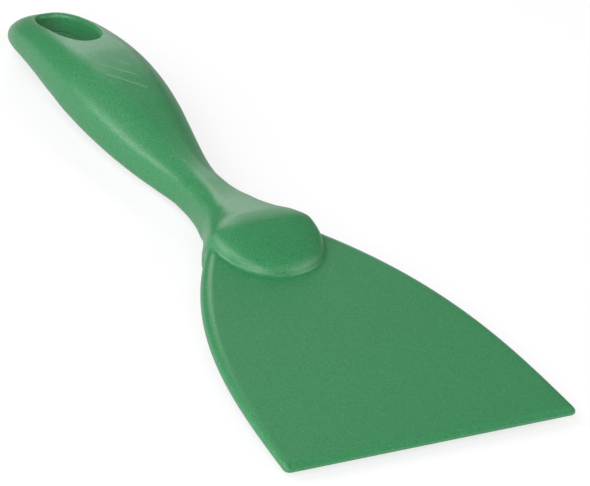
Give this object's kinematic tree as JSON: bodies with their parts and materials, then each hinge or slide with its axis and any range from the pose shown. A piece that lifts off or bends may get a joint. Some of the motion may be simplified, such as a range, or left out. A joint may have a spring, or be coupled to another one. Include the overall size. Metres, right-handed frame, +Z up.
{
  "type": "hand scraper",
  "caption": "Hand scraper moulded in one piece: flared bevelled blade, raised bolster, waisted neck and drooping grip with an oval hanging hole.",
  "frame": {"origin": "on the table under the middle of the tool, as it lies on the underside of its bolster and the belly of its grip", "axes": "+Z up; +Y along the tool from the working edge to the grip's tail; +X across the blade"},
  "size_m": [0.1018, 0.241, 0.0226],
  "materials": {
    "speckled_polypropylene": "satin moulded surface with fine dark specks"
  },
  "bodies": {
    "root": {"scraper_moulding": "speckled_polypropylene"}
  },
  "joints": []
}
